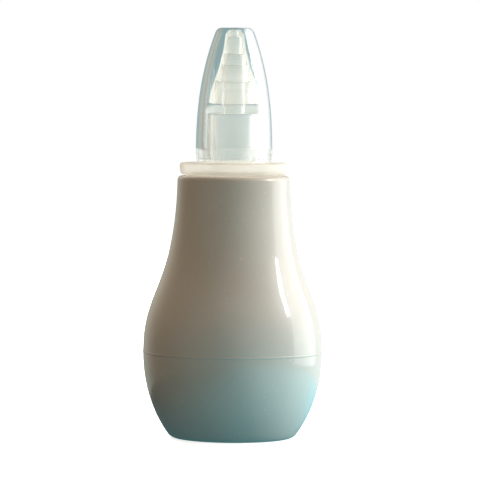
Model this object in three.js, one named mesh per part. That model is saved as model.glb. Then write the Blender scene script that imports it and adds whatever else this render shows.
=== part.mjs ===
// Nasal aspirator: a soft two-part bulb, a translucent collar plugged into its mouth, a nozzle
// chamber sleeved over the collar's spigot, a soft tip pushed on the nozzle, and a clear cap.
// Millimetres, +Z up. The origin is the centre of the flat base, on the surface it stands on.
// Every piece is turned about the Z axis from an outline in the (radius, height) plane.

import * as THREE from 'three';

// ---- driving dimensions -------------------------------------------------------------------

// Bulb. Its two halves are joined at the widest diameter, where a fine ridge runs round it.
const BULB_RADIUS = 25;
const BULB_HEIGHT = 73;
const BULB_WALL = 2.2;
const SEAM_HEIGHT = 24;
const SEAM_GAP = 0.1;
const RIDGE_PROUD = 0.2;
const RIDGE_HEIGHT = 0.35;
const BELLY_DEPTH = 33;          // half height of the ellipse that the flat base cuts off
const BASE_ROUND = 1.2;
const MOUTH_RADIUS = 15.7;
const MOUTH_ROUND = 1.1;
const BELLY_FULLNESS = 0.36;     // share of the upper half's height that the belly's curve holds
const NECK_FULLNESS = 0.63;      // share of the upper half's height that the neck's curve holds
const NECK_FLARE = 0.6;          // how much wider the neck's curve starts than the mouth

// Collar. Its skirt plugs into the bulb's mouth, and its spigot carries the nozzle chamber.
const PLUG_CLEARANCE = 0.1;
const PLUG_DEPTH = 8;
const PLUG_WALL = 1.6;
const FLANGE_SET_BACK = 0.6;     // how far the flange's edge stays inside the mouth's edge
const FLANGE_THICKNESS = 3.4;
const FLANGE_GAP = 0.3;
const FLANGE_TOP_ROUND = 0.8;
const FLANGE_UNDER_ROUND = 1.5;
const FLANGE_FLOOR = 2.4;
const STEP_HEIGHT = 0.9;
const AIRWAY_RADIUS = 5.3;
const SPIGOT_WALL = 1.4;
const SPIGOT_HEIGHT = 12.2;

// Nozzle chamber, with the ring that the cap grips and the barbed stub that holds the tip.
const SLEEVE_CLEARANCE = 0.15;
const SLEEVE_WALL = 1.4;
const SEAT_GAP = 0.05;
const CHAMBER_HEADROOM = 0.45;
const CHAMBER_DRAFT = 0.3;       // how much narrower the chamber is at its shoulder
const SHOULDER_ROUND = 1.6;
const ROOF_THICKNESS = 2.3;
const RING_PROUD = 1.75;
const RING_SLIT = 0.4;
const RING_HEIGHT = 2.4;
const STUB_RADIUS = 3.6;
const STUB_TAPER = 0.4;
const STUB_WALL = 0.7;
const STUB_HEIGHT = 10.8;
const BEAD_PROUD = 1.2;
const BEAD_START = 3.8;
const BEAD_HEIGHT = 2.5;

// Soft tip
const TIP_GAP = 0.4;
const TIP_CLEARANCE = 0.15;
const TIP_BASE_WALL = 2.1;
const TIP_SHOULDER_WALL = 0.85;
const TIP_BORE = 1.75;
const TIP_STEP_WALL = 1.6;
const TIP_END_WALL = 0.65;
const TIP_NOSE_LENGTH = 6.5;     // from the step up to the end of the tip
const TIP_END_ROUND = 1.2;
const TIP_ORIFICE = 0.9;
const TIP_END_THICKNESS = 1.5;
const TIP_BELLY_FULLNESS = 0.41;
const TIP_BASE_LEAN = 0.07;      // radius lost for each millimetre of height, just above the base
const TIP_CONE_LEAN = 0.31;      // the same where the belly runs into the cone
const FUNNEL_HEIGHT = 3.2;
const FUNNEL_BORE = 2.65;

// Cap
const CAP_GAP = 0.2;
const CAP_CLEARANCE = 0.1;
const CAP_MOUTH_WALL = 0.55;
const CAP_SHOULDER_WALL = 1.9;   // the side wall just above the ring, on which the cap's inner shoulder sits
const CAP_CROWN_WALL = 1.2;      // the side wall where it runs into the roof
const CAP_ROOF = 0.6;
const CAP_HEADROOM = 0.3;
const CAP_TOP_RADIUS = 4.9;
const CAP_CURVE = 2.55;          // power of the cap's curve: it narrows faster the higher it goes
const CAP_TOP_ROUND = 1.3;

const EDGE_ROUND = 0.3;

// Facets
const TURNS = 32;
const CURVE_STEPS = 8;
const ROUND_STEPS = 2;

// ---- sizes and heights that follow from them -------------------------------------------------

const mouthBore = MOUTH_RADIUS - BULB_WALL;
const plugRadius = mouthBore - PLUG_CLEARANCE;
const plugBore = plugRadius - PLUG_WALL;
const flangeRadius = MOUTH_RADIUS - FLANGE_SET_BACK;
const spigotRadius = AIRWAY_RADIUS + SPIGOT_WALL;
const sleeveBore = spigotRadius + SLEEVE_CLEARANCE;
const chamberRadius = sleeveBore + SLEEVE_WALL;
const shoulderRadius = chamberRadius - CHAMBER_DRAFT;
const ringRadius = chamberRadius + RING_PROUD;
const capMouthBore = ringRadius + CAP_CLEARANCE;
const capRadius = capMouthBore + CAP_MOUTH_WALL;
const stubTopRadius = STUB_RADIUS - STUB_TAPER;
const stubBore = stubTopRadius - STUB_WALL + STUB_TAPER / 2;
const beadRadius = STUB_RADIUS + BEAD_PROUD;
const tipBaseRadius = beadRadius + TIP_CLEARANCE + TIP_BASE_WALL;
const tipShoulderRadius = stubTopRadius + TIP_CLEARANCE + TIP_SHOULDER_WALL;
const tipStepRadius = TIP_BORE + TIP_STEP_WALL;
const tipEndRadius = TIP_BORE + TIP_END_WALL;

const flangeBottom = BULB_HEIGHT + FLANGE_GAP;
const flangeTop = flangeBottom + FLANGE_THICKNESS;
const stepTop = flangeTop + STEP_HEIGHT;
const spigotTop = stepTop + SPIGOT_HEIGHT;
const chamberBottom = stepTop + SEAT_GAP;
const roof = spigotTop + CHAMBER_HEADROOM;
const chamberTop = roof + ROOF_THICKNESS;
const ringBottom = stepTop + RING_SLIT;
const ringTop = ringBottom + RING_HEIGHT;
const beadBottom = chamberTop + BEAD_START;
const beadTop = beadBottom + BEAD_HEIGHT;
const stubTop = chamberTop + STUB_HEIGHT;
const tipBottom = chamberTop + TIP_GAP;
const funnelBottom = stubTop + TIP_CLEARANCE;
const tipStep = funnelBottom + FUNNEL_HEIGHT;
const tipTop = tipStep + TIP_NOSE_LENGTH;
const capBottom = flangeTop + CAP_GAP;
const capTop = tipTop + CAP_HEADROOM + CAP_ROOF;

// ---- outlines ----------------------------------------------------------------------------------

const at = (radius, height) => new THREE.Vector2(radius, height);

function curve(start, startPull, endPull, end) {
  return new THREE.CubicBezierCurve(start, startPull, endPull, end).getPoints(CURVE_STEPS);
}

// A sharp corner between two neighbours, cut back by `amount` and bridged by a smooth curve.
function rounded(before, corner, after, amount) {
  const start = corner.clone().add(before.clone().sub(corner).setLength(amount));
  const end = corner.clone().add(after.clone().sub(corner).setLength(amount));
  return new THREE.QuadraticBezierCurve(start, corner, end).getPoints(ROUND_STEPS);
}

// The same line moved towards the axis side of the wall, kept between two heights.
function inset(points, wall, lowest, highest) {
  const last = points.length - 1;
  const moved = points.map((point, i) => {
    const along = points[Math.min(i + 1, last)].clone().sub(points[Math.max(i - 1, 0)]);
    const outward = at(along.y, -along.x).normalize();
    return point.clone().addScaledVector(outward, -wall);
  });
  return moved.filter((point) => point.y > lowest && point.y < highest);
}

// Outlines run up the outside and down the inside, so that every face points out.
function turned(name, outline, look) {
  const closed = outline[0].x === 0 ? outline : [...outline, outline[0]];
  const geometry = new THREE.LatheGeometry(closed, TURNS);
  geometry.rotateX(Math.PI / 2);
  const mesh = new THREE.Mesh(geometry, new THREE.MeshStandardMaterial(look));
  mesh.name = name;
  return mesh;
}

// ---- pieces -------------------------------------------------------------------------------------

const bulbLook = { color: 0xd6cfc2, roughness: 0.3, metalness: 0 };
const collarLook = { color: 0xe8e0cc, roughness: 0.35, metalness: 0, transparent: true, opacity: 0.85 };
const nozzleLook = { color: 0xdde2d8, roughness: 0.4, metalness: 0, transparent: true, opacity: 0.65 };
const tipLook = { color: 0xe4e6dc, roughness: 0.5, metalness: 0, transparent: true, opacity: 0.75 };
const capLook = { color: 0xeef4f4, roughness: 0.1, metalness: 0, transparent: true, opacity: 0.3 };

function bulbLower() {
  const radiusAt = (height) => BULB_RADIUS * Math.sqrt(1 - ((SEAM_HEIGHT - height) / BELLY_DEPTH) ** 2);
  const side = [];
  for (let i = 1; i <= CURVE_STEPS; i += 1) {
    const height = BASE_ROUND + (SEAM_HEIGHT - RIDGE_HEIGHT - BASE_ROUND) * (i / CURVE_STEPS);
    side.push(at(radiusAt(height), height));
  }
  const heel = at(radiusAt(0), 0);
  const rim = SEAM_HEIGHT - SEAM_GAP / 2;
  const ridge = BULB_RADIUS + RIDGE_PROUD;
  const inside = inset([heel, ...side], BULB_WALL, BULB_WALL, SEAM_HEIGHT).reverse();
  const floorRadius = inside[inside.length - 1].x;
  return turned('bulb_lower', [
    at(0, 0),
    ...rounded(at(0, 0), heel, side[0], BASE_ROUND),
    ...side,
    at(ridge, SEAM_HEIGHT - RIDGE_HEIGHT / 2),
    at(ridge, rim),
    at(BULB_RADIUS - BULB_WALL, rim),
    ...inside,
    at(floorRadius - BULB_WALL / 2, BULB_WALL),
    at(0, BULB_WALL),
  ], bulbLook);
}

function bulbUpper() {
  const rise = BULB_HEIGHT - SEAM_HEIGHT;
  const side = curve(
    at(BULB_RADIUS, SEAM_HEIGHT + RIDGE_HEIGHT),
    at(BULB_RADIUS, SEAM_HEIGHT + rise * BELLY_FULLNESS),
    at(MOUTH_RADIUS + NECK_FLARE, BULB_HEIGHT - rise * NECK_FULLNESS),
    at(MOUTH_RADIUS, BULB_HEIGHT - MOUTH_ROUND),
  );
  const rim = SEAM_HEIGHT + SEAM_GAP / 2;
  const ridge = BULB_RADIUS + RIDGE_PROUD;
  const mouth = at(MOUTH_RADIUS, BULB_HEIGHT);
  const landBottom = BULB_HEIGHT - PLUG_DEPTH;
  const inside = inset(side, BULB_WALL, SEAM_HEIGHT, landBottom).reverse();
  return turned('bulb_upper', [
    at(ridge, rim),
    at(ridge, SEAM_HEIGHT + RIDGE_HEIGHT / 2),
    ...side.slice(0, -1),
    ...rounded(side[side.length - 1], mouth, at(mouthBore, BULB_HEIGHT), MOUTH_ROUND),
    at(mouthBore, BULB_HEIGHT),
    at(mouthBore, landBottom),
    ...inside,
    at(BULB_RADIUS - BULB_WALL, rim),
  ], bulbLook);
}

function collar() {
  const skirtBottom = flangeBottom - PLUG_DEPTH;
  const plate = flangeTop - FLANGE_FLOOR;
  const under = at(flangeRadius, flangeBottom);
  const over = at(flangeRadius, flangeTop);
  const root = at(plugRadius, flangeBottom);
  const step = at(ringRadius, flangeTop);
  const spigotEdge = at(spigotRadius, spigotTop);
  return turned('collar', [
    at(plugBore, skirtBottom),
    ...rounded(at(plugBore, skirtBottom), at(plugRadius, skirtBottom), root, EDGE_ROUND),
    root,
    ...rounded(root, under, over, FLANGE_UNDER_ROUND),
    ...rounded(under, over, step, FLANGE_TOP_ROUND),
    step,
    at(ringRadius, stepTop),
    at(spigotRadius, stepTop),
    ...rounded(at(spigotRadius, stepTop), spigotEdge, at(AIRWAY_RADIUS, spigotTop), EDGE_ROUND),
    at(AIRWAY_RADIUS, spigotTop),
    at(AIRWAY_RADIUS, plate),
    at(plugBore, plate),
  ], collarLook);
}

function nozzleChamber() {
  const radiusAt = (height) => STUB_RADIUS - STUB_TAPER * ((height - chamberTop) / STUB_HEIGHT);
  const ringEdge = at(ringRadius, ringTop);
  const ringRoot = at(chamberRadius, ringTop);
  const shoulder = at(shoulderRadius, chamberTop);
  const stubRoot = at(STUB_RADIUS, chamberTop);
  const stubEnd = at(stubTopRadius, stubTop);
  const stubLip = at(stubBore, stubTop);
  return turned('nozzle_chamber', [
    at(sleeveBore, chamberBottom),
    at(chamberRadius, chamberBottom),
    at(chamberRadius, ringBottom),
    at(ringRadius, ringBottom),
    ...rounded(at(ringRadius, ringBottom), ringEdge, ringRoot, EDGE_ROUND),
    ringRoot,
    ...rounded(ringRoot, shoulder, stubRoot, SHOULDER_ROUND),
    stubRoot,
    at(radiusAt(beadBottom), beadBottom),
    at(beadRadius, beadBottom + BEAD_HEIGHT / 4),
    at(beadRadius, beadBottom + BEAD_HEIGHT / 2),
    at(radiusAt(beadTop), beadTop),
    ...rounded(at(radiusAt(beadTop), beadTop), stubEnd, stubLip, EDGE_ROUND),
    stubLip,
    at(stubBore, roof),
    at(sleeveBore, roof),
  ], nozzleLook);
}

function softTip() {
  const boreAt = (height) => TIP_CLEARANCE + STUB_RADIUS
    - STUB_TAPER * ((height - chamberTop) / STUB_HEIGHT);
  const beadBore = beadRadius + TIP_CLEARANCE;
  const bellyHeight = stubTop - tipBottom;
  const pull = bellyHeight * TIP_BELLY_FULLNESS;
  const base = at(tipBaseRadius, tipBottom);
  const belly = curve(
    base,
    at(tipBaseRadius - pull * TIP_BASE_LEAN, tipBottom + pull),
    at(tipShoulderRadius + pull * TIP_CONE_LEAN, stubTop - pull),
    at(tipShoulderRadius, stubTop),
  );
  const step = at(tipStepRadius, tipStep);
  const end = at(tipEndRadius, tipTop);
  const clearBead = beadTop + TIP_CLEARANCE;
  return turned('soft_tip', [
    at(beadBore, tipBottom),
    ...belly,
    step,
    ...rounded(step, end, at(TIP_ORIFICE, tipTop), TIP_END_ROUND),
    at(TIP_ORIFICE, tipTop),
    at(TIP_ORIFICE, tipTop - TIP_END_THICKNESS),
    at(TIP_BORE, tipTop - TIP_END_THICKNESS),
    at(TIP_BORE, tipStep),
    at(FUNNEL_BORE, tipStep),
    at(FUNNEL_BORE, funnelBottom),
    at(boreAt(stubTop), funnelBottom),
    at(boreAt(clearBead), clearBead),
    at(beadBore, clearBead),
  ], tipLook);
}

function protectiveCap() {
  const height = capTop - capBottom;
  const radiusAt = (rise) => capRadius - (capRadius - CAP_TOP_RADIUS) * (rise / height) ** CAP_CURVE;
  const wallAt = (rise) => CAP_SHOULDER_WALL + (CAP_CROWN_WALL - CAP_SHOULDER_WALL) * (rise / height);
  const shelf = ringTop + CAP_GAP;
  const shelfRise = shelf - capBottom;
  const sideRise = height - CAP_TOP_ROUND;
  const side = [];
  const inside = [];
  for (let i = 0; i < CURVE_STEPS; i += 1) {
    const share = i / (CURVE_STEPS - 1);
    const rise = sideRise * share;
    side.push(at(radiusAt(rise), capBottom + rise));
    const innerRise = shelfRise + (sideRise - shelfRise) * share;
    inside.unshift(at(radiusAt(innerRise) - wallAt(innerRise), capBottom + innerRise));
  }
  const shoulder = side[side.length - 1];
  const edge = at(CAP_TOP_RADIUS, capTop);
  const ceiling = capTop - CAP_ROOF;
  return turned('protective_cap', [
    at(capMouthBore, capBottom),
    ...side.slice(0, -1),
    ...rounded(shoulder, edge, at(0, capTop), CAP_TOP_ROUND),
    at(0, capTop),
    at(0, ceiling),
    at(CAP_TOP_RADIUS - CAP_CROWN_WALL, ceiling),
    ...inside,
    at(capMouthBore, shelf),
  ], capLook);
}

const group = new THREE.Group();
group.add(bulbLower(), bulbUpper(), collar(), nozzleChamber(), softTip(), protectiveCap());

export default group;
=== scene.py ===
"""A hand-squeezed nasal aspirator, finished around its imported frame."""

import math

import bpy
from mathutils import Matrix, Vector
from mathutils.geometry import interpolate_bezier

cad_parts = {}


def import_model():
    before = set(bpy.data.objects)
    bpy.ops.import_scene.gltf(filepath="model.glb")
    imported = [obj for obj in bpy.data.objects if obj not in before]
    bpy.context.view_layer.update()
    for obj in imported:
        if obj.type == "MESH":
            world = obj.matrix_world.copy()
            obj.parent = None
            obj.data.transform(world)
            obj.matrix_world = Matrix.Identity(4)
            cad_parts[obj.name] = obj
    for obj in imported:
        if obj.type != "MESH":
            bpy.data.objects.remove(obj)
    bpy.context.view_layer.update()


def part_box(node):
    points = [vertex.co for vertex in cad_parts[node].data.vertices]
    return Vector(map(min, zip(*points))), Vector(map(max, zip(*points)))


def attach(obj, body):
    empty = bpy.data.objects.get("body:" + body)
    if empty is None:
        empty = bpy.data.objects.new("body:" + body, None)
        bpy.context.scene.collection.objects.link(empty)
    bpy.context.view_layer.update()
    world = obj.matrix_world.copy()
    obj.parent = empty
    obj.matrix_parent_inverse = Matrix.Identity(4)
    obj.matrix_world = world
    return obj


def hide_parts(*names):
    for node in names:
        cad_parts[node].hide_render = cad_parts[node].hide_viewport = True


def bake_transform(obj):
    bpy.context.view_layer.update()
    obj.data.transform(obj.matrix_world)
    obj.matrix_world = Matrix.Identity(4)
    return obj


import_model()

MM = 0.001
TURNS = 96
SHARP = math.radians(40)
WHITE = (1, 1, 1, 1)

# ---- sizes read from the frame -----------------------------------------------------------

LOWER_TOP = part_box("bulb_lower")[1]
UPPER_FOOT, UPPER_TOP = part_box("bulb_upper")
COLLAR_FOOT, COLLAR_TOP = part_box("collar")
CHAMBER_FOOT, CHAMBER_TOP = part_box("nozzle_chamber")
TIP_FOOT, TIP_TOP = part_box("soft_tip")
CAP_FOOT, CAP_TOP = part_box("protective_cap")

SEAM = (LOWER_TOP.z + UPPER_FOOT.z) / 2
BELLY = LOWER_TOP.x - 0.2 * MM
RIDGE_PROUD = 0.08 * MM
RIDGE_HALF = 0.35 * MM
MOUTH_TOP = UPPER_TOP.z
FLANGE_RADIUS = COLLAR_TOP.x
MOUTH = FLANGE_RADIUS + 0.6 * MM
BULB_WALL = 2.2 * MM
MOUTH_BORE = MOUTH - BULB_WALL
FLANGE_BOTTOM = MOUTH_TOP + 0.3 * MM
FLANGE_TOP = FLANGE_BOTTOM + 3.4 * MM
STEP_TOP = FLANGE_TOP + 0.9 * MM
RING_BOTTOM = STEP_TOP + 0.4 * MM
CAP_SHELF = STEP_TOP + 3.0 * MM
RING_RADIUS = CHAMBER_TOP.x
CHAMBER_RADIUS = RING_RADIUS - 1.75 * MM
SLEEVE_BORE = CHAMBER_RADIUS - 1.4 * MM
SPIGOT_RADIUS = SLEEVE_BORE - 0.15 * MM
AIRWAY = SPIGOT_RADIUS - 1.4 * MM
SPIGOT_TOP = COLLAR_TOP.z
ROOF_UNDER = SPIGOT_TOP + 0.45 * MM
ROOF_TOP = ROOF_UNDER + 2.3 * MM
STUB_ROOT = 3.6 * MM
STUB_END = 3.2 * MM
STUB_BORE = 2.7 * MM
STUB_TOP = CHAMBER_TOP.z
BEAD = STUB_ROOT + 1.2 * MM
BEAD_BOTTOM = ROOF_TOP + 3.8 * MM
BEAD_TOP = BEAD_BOTTOM + 2.5 * MM


# ---- outlines, as (radius, height) points in the XZ plane --------------------------------

def at(radius, height):
    return Vector((radius, 0, height))


def spaced(first, last, steps):
    """Evenly spaced values, both ends among them."""
    return [first + (last - first) * i / steps for i in range(steps + 1)]


def swept(start, pull_out, pull_in, end, steps):
    """A smooth stretch of outline between two points, drawn out by two handles."""
    return interpolate_bezier(start, pull_out, pull_in, end, steps)


def eased(before, corner, after, cut, steps=6):
    """A round corner: its sides are cut back by `cut` and joined by an arc."""
    start = corner + (before - corner).normalized() * cut
    end = corner + (after - corner).normalized() * cut
    roundness = 0.55
    return swept(start, start.lerp(corner, roundness), end.lerp(corner, roundness), end, steps)


def inside_of(points, wall):
    """The same line a wall's thickness nearer to the axis, in the opposite order."""
    moved = []
    for i, point in enumerate(points):
        along = points[min(i + 1, len(points) - 1)] - points[max(i - 1, 0)]
        outward = Vector((along.z, 0, -along.x)).normalized()
        moved.append(point - outward * wall)
    return moved[::-1]


# ---- modelling ---------------------------------------------------------------------------

def turned(name, outline, small_edge=0.12 * MM):
    """Draws an outline corner by corner, spins it about Z into a closed shell and smooths it."""
    bpy.ops.object.select_all(action="DESELECT")
    bpy.ops.mesh.primitive_plane_add(size=MM, location=outline[0])
    piece = bpy.context.object
    piece.name = name
    bpy.ops.object.mode_set(mode="EDIT")
    bpy.ops.mesh.select_mode(type="VERT")
    bpy.ops.mesh.merge(type="CENTER")
    on_axis = outline[0].x == 0
    route = outline if on_axis else outline + outline[:1]
    for before, after in zip(route, route[1:]):
        bpy.ops.mesh.extrude_region_move(TRANSFORM_OT_translate={"value": after - before})
    bpy.ops.mesh.select_all(action="SELECT")
    bpy.ops.mesh.spin(steps=TURNS, angle=math.tau, center=(0, 0, 0), axis=(0, 0, 1))
    bpy.ops.mesh.select_all(action="SELECT")
    bpy.ops.mesh.remove_doubles(threshold=0.004 * MM)
    bpy.ops.mesh.normals_make_consistent(inside=False)
    bpy.ops.object.mode_set(mode="OBJECT")
    bpy.ops.object.transform_apply(location=True, rotation=True, scale=True)
    if small_edge:
        soften(piece, small_edge)
    bpy.ops.object.shade_smooth_by_angle(angle=SHARP)
    return piece


def soften(piece, width):
    """Rounds off every sharp edge by a fine bevel."""
    bevel = piece.modifiers.new("soften", "BEVEL")
    bevel.width = width
    bevel.segments = 3
    bevel.limit_method = "ANGLE"
    bevel.angle_limit = SHARP
    bpy.ops.object.modifier_apply(modifier=bevel.name)


# ---- shader nodes ------------------------------------------------------------------------

class Wire:
    """A node's output. Python's operators on it add Math nodes."""

    def __init__(self, look, socket):
        self.look = look
        self.socket = socket

    def math(self, operation, first, second):
        return self.look.node("ShaderNodeMath", {"operation": operation}, {0: first, 1: second})

    def __add__(self, other):
        return self.math("ADD", self, other)

    def __rsub__(self, other):
        return self.math("SUBTRACT", other, self)

    def __mul__(self, other):
        return self.math("MULTIPLY", self, other)

    def __rtruediv__(self, other):
        return self.math("DIVIDE", other, self)

    def __gt__(self, other):
        return self.math("GREATER_THAN", self, other)

    def __lt__(self, other):
        return self.math("LESS_THAN", self, other)

    __radd__ = __add__
    __rmul__ = __mul__


class Look:
    """The nodes of one material, or of the world."""

    def __init__(self, owner):
        owner.use_nodes = True
        self.owner = owner
        self.tree = owner.node_tree
        self.tree.nodes.clear()

    def node(self, kind, settings=None, sockets=None, out=0):
        """Adds a node, sets its settings and then its sockets, and gives one of its outputs."""
        added = self.tree.nodes.new(kind)
        for key, value in (settings or {}).items():
            if key == "stops":
                self.set_stops(added.color_ramp, value)
            else:
                setattr(added, key, value)
        for key, value in (sockets or {}).items():
            if isinstance(value, Wire):
                self.tree.links.new(value.socket, added.inputs[key])
            else:
                added.inputs[key].default_value = value
        return Wire(self, added.outputs[out]) if added.outputs else added

    @staticmethod
    def set_stops(ramp, stops):
        while len(ramp.elements) < len(stops):
            ramp.elements.new(1)
        for element, (position, color) in zip(ramp.elements, stops):
            element.position = position
            element.color = color

    def mix(self, factor, first, second):
        """A colour between two others."""
        return self.node(
            "ShaderNodeMix",
            {"data_type": "RGBA"},
            {"Factor": factor, 6: first, 7: second},
            out=2,
        )

    def smooth(self, value, low, high):
        """0 at low, 1 at high, and a smooth change between them. Low may be the higher one."""
        settings = {"interpolation_type": "SMOOTHSTEP"}
        sockets = {"Value": value, "From Min": low, "From Max": high}
        return self.node("ShaderNodeMapRange", settings, sockets)

    def ramp(self, value, *stops):
        return self.node("ShaderNodeValToRGB", {"stops": stops}, {"Fac": value})

    def place(self):
        return self.node("ShaderNodeTexCoord", out="Object")

    def along(self, axis):
        """The place along one axis, X, Y or Z."""
        return self.node("ShaderNodeSeparateXYZ", sockets={0: self.place()}, out=axis)

    def noise(self, scale, detail):
        sockets = {"Vector": self.place(), "Scale": scale, "Detail": detail}
        return self.node("ShaderNodeTexNoise", sockets=sockets)

    def bump(self, height, strength, distance):
        sockets = {"Height": height, "Strength": strength, "Distance": distance}
        return self.node("ShaderNodeBump", sockets=sockets)

    def blend(self, factor, first, second):
        """A shader between two others."""
        return self.node("ShaderNodeMixShader", sockets={0: factor, 1: first, 2: second})

    def lit_through(self, shader, straight):
        """What is seen through it is bent, but light on its way to another surface isn't."""
        for rays in ("Is Volume Scatter Ray", "Is Diffuse Ray", "Is Shadow Ray"):
            shader = self.blend(self.node("ShaderNodeLightPath", out=rays), shader, straight)
        return shader

    def surface(self, shader, inside=None):
        output = {"Surface": shader}
        if inside:
            output["Volume"] = inside
        self.node("ShaderNodeOutputMaterial", sockets=output)
        return self.owner


def look(name):
    return Look(bpy.data.materials.new(name))


# ---- finishes ----------------------------------------------------------------------------

def bulb_finish():
    """Smooth warm grey-white elastomer with a faint mould texture, dust and handling marks."""
    made = look("bulb_elastomer")
    cloud = made.noise(55, detail=4)
    body = made.ramp(cloud, (0.3, (0.62, 0.55, 0.48, 1)), (0.7, (0.67, 0.60, 0.53, 1)))
    dust = made.noise(1700, detail=1) > 0.75
    color = made.mix(dust * 0.6, body, (0.9, 0.9, 0.86, 1))
    smear = made.noise(60, detail=2)
    roughness = 0.34 + smear * 0.08
    peel = made.noise(1400, detail=2)
    shader = made.node(
        "ShaderNodeBsdfPrincipled",
        sockets={
            "Base Color": color,
            "Roughness": roughness,
            "IOR": 1.5,
            "Subsurface Weight": 0.15,
            "Subsurface Radius": (1.0, 0.8, 0.6),
            "Subsurface Scale": 1.5 * MM,
            "Coat Weight": 0.6,
            "Coat Roughness": 0.05,
            "Normal": made.bump(peel, 0.02, 0.1 * MM),
        },
    )
    return made.surface(shader)


def milky_finish(name, color, haze, cloud_depth, roughness, shine, hazy_below=None):
    """Translucent moulding. Each surface is a thin haze over a clear skin that bends what is
    behind it a little, under a fine gloss, and the haze is thinnest seen square on. What is
    between the surfaces is cloudy, so that thick parts look milky."""
    made = look(name)
    cloud = made.noise(130, detail=3)
    grain = made.noise(700, detail=3)
    darker = tuple(0.93 * part for part in color[:3]) + (1,)
    normal = made.bump(grain, 0.04, 0.1 * MM)
    milk = made.node(
        "ShaderNodeBsdfPrincipled",
        sockets={
            "Base Color": made.mix(cloud * 0.3, color, darker),
            "Roughness": roughness + cloud * 0.1,
            "IOR": 1.45,
            "Normal": normal,
        },
    )
    through = made.node("ShaderNodeBsdfTranslucent", sockets={"Color": color})
    body = made.blend(0.5, milk, through)
    clear = made.node(
        "ShaderNodeBsdfPrincipled",
        sockets={
            "Base Color": WHITE,
            "Roughness": 0.12,
            "IOR": 1.1,
            "Transmission Weight": 1.0,
            "Normal": normal,
        },
    )
    straight = made.node("ShaderNodeBsdfTransparent", sockets={"Color": WHITE})
    window = made.lit_through(clear, straight)
    if hazy_below is not None:
        haze_end = hazy_below + 0.5 * MM
        haze = made.smooth(made.along("Z"), haze_end, hazy_below) * haze
    square_on = 1 - made.node("ShaderNodeLayerWeight", sockets={"Blend": 0.5}, out="Facing")
    share = haze * (1.25 / (square_on + 0.25)) + cloud * 0.02
    skin = made.blend(share, window, body)
    gloss = made.node(
        "ShaderNodeBsdfGlossy", sockets={"Roughness": roughness + 0.1, "Normal": normal}
    )
    outer = 1 - made.node("ShaderNodeNewGeometry", out="Backfacing") * 0.6
    glint = made.node("ShaderNodeFresnel", sockets={"IOR": 1.4}) * outer * shine
    inside = made.node(
        "ShaderNodeVolumeScatter",
        sockets={"Color": color, "Density": 1 / cloud_depth, "Anisotropy": 0.3},
    )
    return made.surface(made.blend(glint, skin, gloss), inside)


def clear_finish(thin_below):
    """Clear polished plastic with faint ripples. Lamps shine straight through it, and hardly
    anything is bent where the wall is thin, below the given height."""
    made = look("cap_clear_plastic")
    ripple = made.noise(160, detail=2)
    glass = made.node(
        "ShaderNodeBsdfPrincipled",
        sockets={
            "Base Color": made.mix(ripple * 0.1, (0.97, 0.985, 0.985, 1), (0.9, 0.95, 0.95, 1)),
            "Roughness": 0.03 + ripple * 0.03,
            "IOR": 1.5,
            "Transmission Weight": 1.0,
            "Normal": made.bump(ripple, 0.06, 0.2 * MM),
        },
    )
    straight = made.node("ShaderNodeBsdfTransparent", sockets={"Color": (0.96, 0.97, 0.97, 1)})
    thin = (made.along("Z") < thin_below) * 0.65
    return made.surface(made.lit_through(made.blend(thin, glass, straight), straight))


# ---- pieces ------------------------------------------------------------------------------

def place_piece(piece, node, material):
    piece.data.materials.append(material)
    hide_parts(node)


def bulb_lower():
    """The closed bottom half: part of an ellipse, cut off flat, with half of the ridge."""
    depth = 33 * MM
    heel_cut = 1.3 * MM
    heel_top = 1.2 * MM

    def radius_at(height):
        return BELLY * math.sqrt(1 - ((SEAM - height) / depth) ** 2)

    heights = spaced(heel_top, SEAM - RIDGE_HALF, 28)
    side = [at(radius_at(height), height) for height in heights]
    heel = at(radius_at(0), 0)
    inner = [point for point in inside_of(side, BULB_WALL) if point.z > BULB_WALL * 1.6]
    outline = [at(0, 0), at(heel.x * 0.5, 0)]
    outline += eased(at(0, 0), heel, side[0], heel_cut)
    outline += side[1:]
    outline += ridge_half(-1)
    outline += [at(BELLY - BULB_WALL, SEAM)]
    outline += inner
    outline += [at(inner[-1].x - BULB_WALL, BULB_WALL), at(0, BULB_WALL)]
    return turned("bulb_lower_shell", outline, small_edge=0)


def ridge_half(side):
    """Half of the fine ridge where the bulb's halves join, below it for -1, above it for 1."""
    steps = 5
    points = []
    for i in range(1, steps + 1):
        turn = math.pi / 2 * i / steps
        out = RIDGE_PROUD * math.sin(turn)
        points.append(at(BELLY + out, SEAM + side * RIDGE_HALF * math.cos(turn)))
    return points if side < 0 else points[::-1]


def bulb_upper():
    """The open top half, from the ridge through the neck to the rounded mouth."""
    rise = MOUTH_TOP - SEAM
    belly_pull = rise * 0.36
    neck_pull = rise * 0.63
    neck_flare = 0.6 * MM
    mouth_cut = 1.1 * MM
    lip_cut = 0.3 * MM
    land_bottom = MOUTH_TOP - 8 * MM
    side = swept(
        at(BELLY, SEAM + RIDGE_HALF),
        at(BELLY, SEAM + belly_pull),
        at(MOUTH + neck_flare, MOUTH_TOP - neck_pull),
        at(MOUTH, MOUTH_TOP - mouth_cut),
        48,
    )
    edge = at(MOUTH, MOUTH_TOP)
    lip = at(MOUTH_BORE, MOUTH_TOP)
    inner = [point for point in inside_of(side, BULB_WALL) if point.z < land_bottom]
    outline = ridge_half(1) + side[:-1]
    outline += eased(side[-1], edge, lip, mouth_cut)
    outline += eased(edge, lip, at(MOUTH_BORE, 0), lip_cut, 4)
    outline += [at(MOUTH_BORE, land_bottom)]
    outline += inner
    outline += [at(BELLY - BULB_WALL, SEAM)]
    return turned("bulb_upper_shell", outline, small_edge=0)


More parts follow.
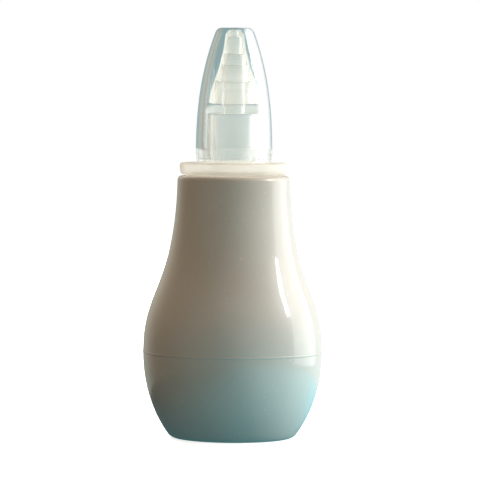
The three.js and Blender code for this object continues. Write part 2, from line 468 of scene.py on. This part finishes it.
def collar():
    """The collar: a skirt that plugs into the mouth, a rounded flange, a step and the spigot."""
    skirt = MOUTH_BORE - 0.1 * MM
    skirt_bore = skirt - 1.6 * MM
    plate = FLANGE_TOP - 2.4 * MM
    under_cut = 1.35 * MM
    over_cut = 0.8 * MM
    foot = COLLAR_FOOT.z
    under = at(FLANGE_RADIUS, FLANGE_BOTTOM)
    over = at(FLANGE_RADIUS, FLANGE_TOP)
    root = at(skirt, FLANGE_BOTTOM)
    outline = [at(skirt_bore, foot), at(skirt, foot), root]
    outline += eased(root, under, over, under_cut, 8)
    outline += eased(under, over, at(RING_RADIUS, FLANGE_TOP), over_cut, 8)
    outline += [
        at(RING_RADIUS, FLANGE_TOP),
        at(RING_RADIUS, STEP_TOP),
        at(SPIGOT_RADIUS, STEP_TOP),
        at(SPIGOT_RADIUS, SPIGOT_TOP),
        at(AIRWAY, SPIGOT_TOP),
        at(AIRWAY, plate),
        at(skirt_bore, plate),
    ]
    return turned("collar_moulding", outline)


def nozzle_chamber():
    """The chamber: sleeve, cap ring, shouldered roof and the barbed stub."""
    shoulder = at(CHAMBER_RADIUS - 0.3 * MM, ROOF_TOP)
    shoulder_cut = 1.6 * MM
    ring_top = RING_BOTTOM + 2.4 * MM
    ring_foot = at(RING_RADIUS, RING_BOTTOM)
    ring_edge = at(RING_RADIUS, ring_top)
    ring_root = at(CHAMBER_RADIUS, ring_top)
    ring_cut = 0.5 * MM
    bead_cut = 0.4 * MM
    ceiling = at(SLEEVE_BORE, ROOF_UNDER)
    ceiling_cut = 0.6 * MM

    def stub(height):
        radius = STUB_ROOT + (STUB_END - STUB_ROOT) * (height - ROOF_TOP) / (STUB_TOP - ROOF_TOP)
        return at(radius, height)

    outline = [
        at(SLEEVE_BORE, CHAMBER_FOOT.z),
        at(CHAMBER_RADIUS, CHAMBER_FOOT.z),
        at(CHAMBER_RADIUS, RING_BOTTOM),
        ring_foot,
    ]
    outline += eased(ring_foot, ring_edge, ring_root, ring_cut)
    outline += [ring_root]
    outline += eased(ring_root, shoulder, at(STUB_ROOT, ROOF_TOP), shoulder_cut, 8)
    outline += [at(STUB_ROOT, ROOF_TOP), stub(BEAD_BOTTOM)]
    bead_edge = at(BEAD, BEAD_BOTTOM + bead_cut)
    outline += eased(stub(BEAD_BOTTOM), bead_edge, at(BEAD, BEAD_TOP), bead_cut)
    outline += [
        at(BEAD, BEAD_BOTTOM + 1.3 * MM),
        stub(BEAD_TOP),
        at(STUB_END, STUB_TOP),
        at(STUB_BORE, STUB_TOP),
        at(STUB_BORE, ROOF_UNDER),
    ]
    outline += eased(at(STUB_BORE, ROOF_UNDER), ceiling, at(SLEEVE_BORE, 0), ceiling_cut)
    return turned("chamber_moulding", outline)


def soft_tip():
    """The soft tip: a full belly, a cone, a stepped nose with a rounded end and its orifice."""
    foot = TIP_FOOT.z
    base = TIP_TOP.x
    base_cut = 0.35 * MM
    shoulder = STUB_END + 1.0 * MM
    step_height = STUB_TOP + 3.35 * MM
    step = 3.55 * MM
    nose_root = 3.35 * MM
    nose_end = 2.4 * MM
    nose_cut = 1.25 * MM
    bore = 1.75 * MM
    orifice = 0.9 * MM
    orifice_cut = 0.15 * MM
    funnel = 2.65 * MM
    play = 0.15 * MM
    pull = (STUB_TOP - foot) * 0.41
    belly = swept(
        at(base, foot + 0.9 * MM),
        at(base - pull * 0.07, foot + pull),
        at(shoulder + pull * 0.31, STUB_TOP - pull),
        at(shoulder, STUB_TOP),
        30,
    )
    end = at(nose_end, TIP_TOP.z)
    lip = at(orifice, TIP_TOP.z)
    outline = [at(BEAD + play, foot)]
    outline += eased(at(0, foot), at(base, foot), at(base, foot + MM), base_cut)
    outline += belly
    outline += [at(step, step_height - 0.2 * MM), at(nose_root, step_height)]
    outline += eased(at(nose_root, step_height), end, lip, nose_cut, 10)
    outline += eased(end, lip, at(orifice, 0), orifice_cut, 4)
    outline += [
        at(orifice, TIP_TOP.z - 1.5 * MM),
        at(bore, TIP_TOP.z - 1.9 * MM),
        at(bore, step_height),
        at(funnel, step_height - 0.3 * MM),
        at(funnel, STUB_TOP + play),
        at(STUB_END + play, STUB_TOP + play),
        at(STUB_END + 0.3 * MM, BEAD_TOP + play),
        at(BEAD + play, BEAD_TOP + play),
    ]
    return turned("tip_silicone", outline, small_edge=0.1 * MM)


def protective_cap():
    """The clear cap. Its side narrows faster the higher it goes, and its wall thins towards the
    top. Inside, just above the mouth, a shoulder stops it on the chamber's ring."""
    shoulder_wall = 1.9 * MM
    crown_wall = 1.2 * MM
    roof = 0.6 * MM
    mouth_bore = RING_RADIUS + 0.1 * MM
    height = CAP_TOP.z - CAP_FOOT.z
    top_radius = 4.9 * MM
    top_cut = 1.3 * MM
    ceiling_cut = 0.5 * MM
    steps = 36

    def radius_at(rise):
        return CAP_TOP.x - (CAP_TOP.x - top_radius) * (rise / height) ** 2.55

    def inner_at(rise):
        return radius_at(rise) - shoulder_wall + (shoulder_wall - crown_wall) * rise / height

    shelf = CAP_SHELF - CAP_FOOT.z
    side_rise = height - top_cut
    side = [at(radius_at(rise), CAP_FOOT.z + rise) for rise in spaced(0, side_rise, steps)]
    inner = [at(inner_at(rise), CAP_FOOT.z + rise) for rise in spaced(side_rise, shelf, steps)]
    edge = at(top_radius, CAP_TOP.z)
    ceiling = at(0, CAP_TOP.z - roof)
    corner = at(top_radius - crown_wall, ceiling.z)
    outline = [ceiling]
    outline += eased(ceiling, corner, inner[0], ceiling_cut)
    outline += inner
    outline += [
        at(mouth_bore, inner[-1].z),
        at(mouth_bore, CAP_FOOT.z + 0.2 * MM),
        at(mouth_bore + 0.15 * MM, CAP_FOOT.z),
        at(CAP_TOP.x - 0.1 * MM, CAP_FOOT.z),
    ]
    outline += side[1:-1]
    outline += eased(side[-1], edge, at(0, CAP_TOP.z), top_cut, 10)
    outline += [at(0, CAP_TOP.z)]
    return turned("cap_shell", outline, small_edge=0)


def build_object():
    bulb_look = bulb_finish()
    for piece, node in ((bulb_lower(), "bulb_lower"), (bulb_upper(), "bulb_upper")):
        place_piece(piece, node, bulb_look)
        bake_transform(piece)
    cream = milky_finish(
        "collar_cream_plastic",
        (1.0, 0.975, 0.91, 1),
        haze=0.3,
        cloud_depth=18 * MM,
        roughness=0.3,
        shine=0.25,
        hazy_below=FLANGE_TOP,
    )
    milk = milky_finish(
        "chamber_milky_plastic",
        (0.70, 0.64, 0.54, 1),
        haze=0.0,
        cloud_depth=26 * MM,
        roughness=0.35,
        shine=0.4,
    )
    frost = milky_finish(
        "tip_frosted_silicone",
        (0.72, 0.65, 0.54, 1),
        haze=0.02,
        cloud_depth=9 * MM,
        roughness=0.45,
        shine=0.4,
    )
    clear = clear_finish(CAP_SHELF)
    for piece, node, material, slot, body in (
        (collar(), "collar", cream, "collar_plastic", "collar_body"),
        (nozzle_chamber(), "nozzle_chamber", milk, "chamber_plastic", "chamber_body"),
        (soft_tip(), "soft_tip", frost, "tip_silicone", "tip_body"),
        (protective_cap(), "protective_cap", clear, "clear_cap", "cap_body"),
    ):
        place_piece(piece, node, material)
        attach(piece, body)


# ---- floor, light and camera -------------------------------------------------------------

def floor():
    """A plain pale floor. It neither lights the object nor shows through it."""
    bpy.ops.object.select_all(action="DESELECT")
    bpy.ops.mesh.primitive_plane_add(size=6, location=(0, 0, 0))
    ground = bpy.context.object
    ground.name = "floor"
    made = look("floor_pale")
    shader = made.node(
        "ShaderNodeBsdfPrincipled",
        sockets={
            "Base Color": (0.93, 0.95, 0.95, 1),
            "Roughness": 0.9,
            "Specular IOR Level": 0.0,
            "Emission Color": WHITE,
            "Emission Strength": 0.75,
        },
    )
    ground.data.materials.append(made.surface(shader))
    for rays in ("diffuse", "glossy", "transmission", "shadow"):
        setattr(ground, "visible_" + rays, False)


def mat():
    """A mat under the object, dark on the left and glowing teal on the right. The camera
    doesn't see it, only its light."""
    middle = (20 * MM, -30 * MM, -1 * MM)
    bpy.ops.object.select_all(action="DESELECT")
    bpy.ops.mesh.primitive_circle_add(
        vertices=48, radius=110 * MM, fill_type="NGON", location=middle
    )
    card = bpy.context.object
    card.name = "teal_mat"
    bpy.ops.object.transform_apply(location=True)
    made = look("mat_teal")
    away = made.node(
        "ShaderNodeVectorMath", {"operation": "LENGTH"}, {0: made.place()}, out="Value"
    )
    reach = made.smooth(made.along("X"), -0.06, 0.10) * made.smooth(away, -0.02, 0.06)
    glow = made.mix(reach, (0.01, 0.02, 0.02, 1), (0.30, 1.30, 1.60, 1))
    shader = made.node(
        "ShaderNodeBsdfPrincipled",
        sockets={
            "Base Color": (0, 0, 0, 1),
            "Specular IOR Level": 0.0,
            "Emission Color": glow,
            "Emission Strength": 1.0,
        },
    )
    card.data.materials.append(made.surface(shader))
    card.visible_camera = False
    card.visible_shadow = False


def softbox(name, place, aim, size, power, color, mirrored=True):
    """A rectangular studio light that faces a point. The camera doesn't see it, and unless it is
    mirrored, no gloss or clear piece shows it either."""
    bpy.ops.object.light_add(type="AREA", location=place)
    lamp = bpy.context.object
    lamp.name = name
    lamp.rotation_euler = (Vector(aim) - Vector(place)).to_track_quat("-Z", "Y").to_euler()
    lamp.data.shape = "RECTANGLE"
    lamp.data.size, lamp.data.size_y = size
    lamp.data.energy = power
    lamp.data.color = color
    lamp.visible_camera = False
    lamp.visible_glossy = mirrored
    lamp.visible_transmission = mirrored


def world():
    """White behind the object for the camera. For all else, a room that is warm and dim on the
    left and bright on the right, with a teal backdrop, which shows through the clear pieces."""
    scene_world = bpy.data.worlds.new("studio")
    bpy.context.scene.world = scene_world
    made = Look(scene_world)
    direction = made.node("ShaderNodeTexCoord", out="Generated")
    parts = made.node("ShaderNodeSeparateXYZ", sockets={0: direction})
    outputs = parts.socket.node.outputs
    side, depth, height = (Wire(made, outputs[axis]) for axis in "XYZ")
    rightward = made.smooth(side, -0.1, 1.0)
    sky = made.mix(rightward, (0.30, 0.245, 0.18, 1), (0.80, 0.75, 0.70, 1))
    ground = made.mix(rightward, (0.22, 0.18, 0.13, 1), (0.35, 0.34, 0.31, 1))
    room = made.mix(made.smooth(height, -0.25, 0.15), ground, sky)
    backdrop = made.ramp(
        side + 0.5,
        (0.05, (0.50, 0.53, 0.47, 1)),
        (0.25, (0.27, 0.40, 0.41, 1)),
        (0.5, (0.27, 0.42, 0.45, 1)),
        (0.62, (0.32, 0.49, 0.52, 1)),
        (0.8, (1.0, 1.05, 1.05, 1)),
    )
    room = made.mix(made.smooth(depth, 0.35, 0.85), room, backdrop)
    seen = made.node("ShaderNodeLightPath", out="Is Camera Ray")
    around = made.node("ShaderNodeBackground", sockets={"Color": room, "Strength": 1.0})
    behind = made.node("ShaderNodeBackground", sockets={"Color": WHITE, "Strength": 1.0})
    made.node("ShaderNodeOutputWorld", sockets={"Surface": made.blend(seen, around, behind)})


def camera():
    """Looks a little down at the middle of the object from a metre away."""
    distance = 1.0
    eye_height = 105 * MM
    aim_height = 55.1 * MM
    aside = 1.84 * MM
    view_width = 133.7 * MM
    roll = math.radians(0.4)
    sensor = 36
    eye = Vector((aside, -distance, eye_height))
    aim = Vector((aside, 0, aim_height))
    bpy.ops.object.camera_add(location=eye)
    view = bpy.context.object
    view.rotation_euler = (aim - eye).to_track_quat("-Z", "Y").to_euler()
    view.rotation_euler.rotate_axis("Z", roll)
    view.data.sensor_width = sensor
    view.data.lens = sensor * (aim - eye).length / view_width
    bpy.context.scene.camera = view


def studio():
    floor()
    mat()
    world()
    bearing = math.radians(108)
    reach = 0.8
    window = Vector((math.sin(bearing) * reach, -math.cos(bearing) * reach, 0.45))
    level = (0, 0, window.z)
    softbox("window", window, level, (0.68, 1.1), 6.8, (0.98, 0.99, 0.98))
    bulb_middle = (0, 0, 0.045)
    softbox("window_pane", (0.77, -0.08, 0.49), bulb_middle, (0.10, 0.36), 2.4, (1.0, 0.99, 0.97))
    nozzle = (0, 0, 0.1)
    softbox(
        "backlight", (-0.2, 0.75, 0.5), nozzle, (0.7, 0.7), 13.0, (1.0, 0.90, 0.76), mirrored=False
    )
    camera()
    scene = bpy.context.scene
    scene.view_settings.view_transform = "Standard"
    scene.cycles.max_bounces = 24
    scene.cycles.transmission_bounces = 24
    scene.cycles.diffuse_bounces = 8
    scene.cycles.volume_bounces = 16
    scene.cycles.transparent_max_bounces = 48


build_object()
studio()
